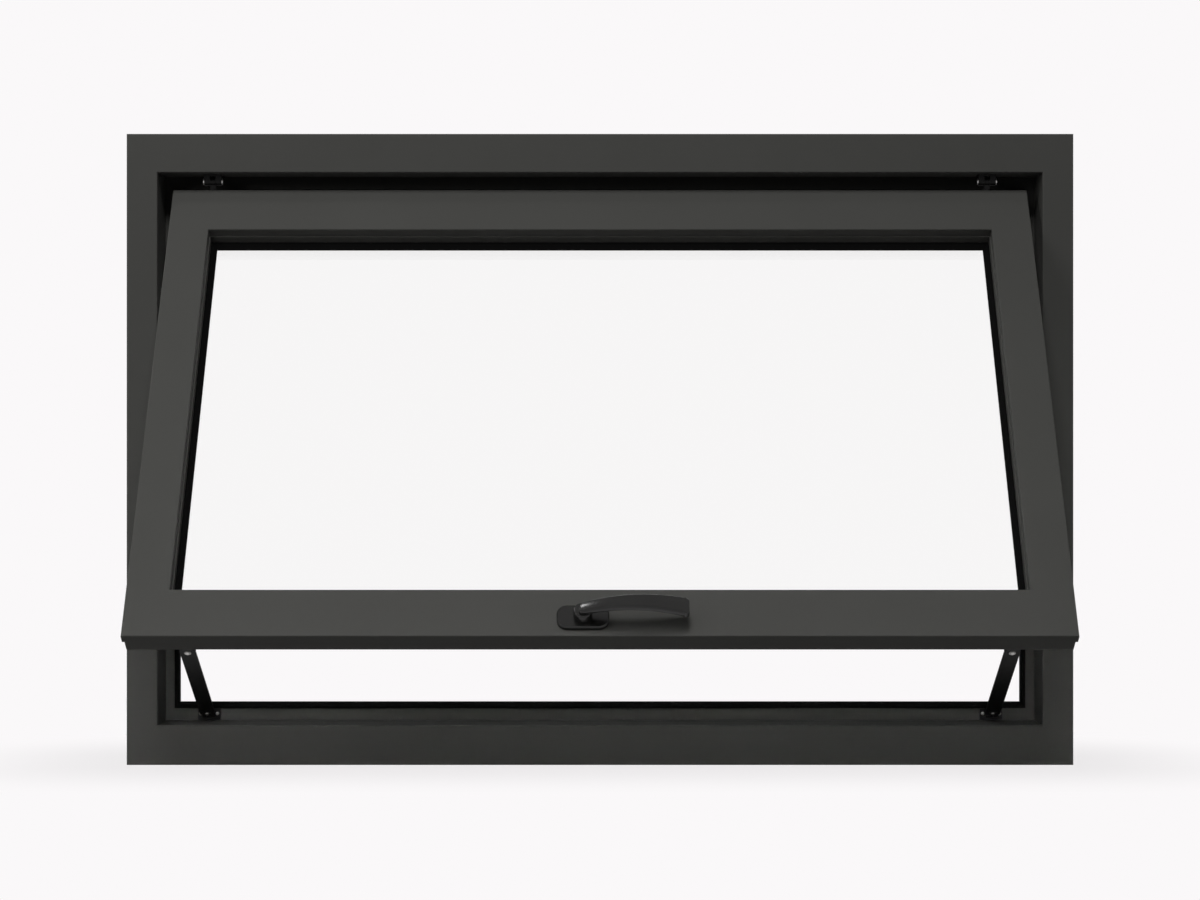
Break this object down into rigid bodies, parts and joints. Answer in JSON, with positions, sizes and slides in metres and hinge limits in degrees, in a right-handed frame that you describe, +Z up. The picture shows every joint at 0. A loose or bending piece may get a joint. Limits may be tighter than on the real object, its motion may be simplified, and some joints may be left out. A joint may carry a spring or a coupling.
{
  "type": "top hung awning window",
  "caption": "Wide dark metal awning window: a mitred frame whose glazed sash hangs from head hinges, is held open at the bottom by folding stays and carries a lever handle.",
  "frame": {"origin": "the middle of the frame's underside", "axes": "+X runs along the window to the right as seen from the front, +Y from the front, where the sash opens, to the back, and +Z up"},
  "size_m": [1.2, 0.4697, 0.8],
  "materials": {
    "frame_coat": "dark grey satin powder coat on aluminium extrusion",
    "seal_rubber": "black weather seal",
    "clear_glass": "clear float glass",
    "black_steel": "black coated steel",
    "bright_steel": "plain stainless steel",
    "handle_coat": "satin black coat on cast metal"
  },
  "bodies": {
    "window": {"frame_head": "frame_coat", "frame_left_jamb": "frame_coat", "frame_right_jamb": "frame_coat", "frame_seal": "seal_rubber", "frame_sill": "frame_coat", "glass_pane": "clear_glass", "glazing_bead_bottom": "frame_coat", "glazing_bead_left": "frame_coat", "glazing_bead_right": "frame_coat", "glazing_bead_top": "frame_coat", "glazing_seal_back": "seal_rubber", "glazing_seal_front": "seal_rubber", "handle_base": "handle_coat", "hinge_left_frame_leaf": "black_steel", "hinge_left_pin": "bright_steel", "hinge_left_sash_leaf": "black_steel", "hinge_right_frame_leaf": "black_steel", "hinge_right_pin": "bright_steel", "hinge_right_sash_leaf": "black_steel", "sash_bottom_rail": "frame_coat", "sash_left_stile": "frame_coat", "sash_right_stile": "frame_coat", "sash_top_rail": "frame_coat", "stay_left_elbow_rivet": "bright_steel", "stay_left_lower_link": "black_steel", "stay_left_sash_foot": "black_steel", "stay_left_sash_tab": "black_steel", "stay_left_sill_foot": "black_steel", "stay_left_sill_tab": "black_steel", "stay_left_upper_link": "black_steel", "stay_right_elbow_rivet": "bright_steel", "stay_right_lower_link": "black_steel", "stay_right_sash_foot": "black_steel", "stay_right_sash_tab": "black_steel", "stay_right_sill_foot": "black_steel", "stay_right_sill_tab": "black_steel", "stay_right_upper_link": "black_steel"},
    "handle": {"handle_lever": "handle_coat"}
  },
  "joints": [
    {"name": "handle_turn", "type": "hinge", "parent": "window", "child": "handle", "pos_m": [-0.0195, -0.39096, 0.20677], "axis": [0, -0.8141, 0.5807], "range_deg": [0, 90]}
  ]
}
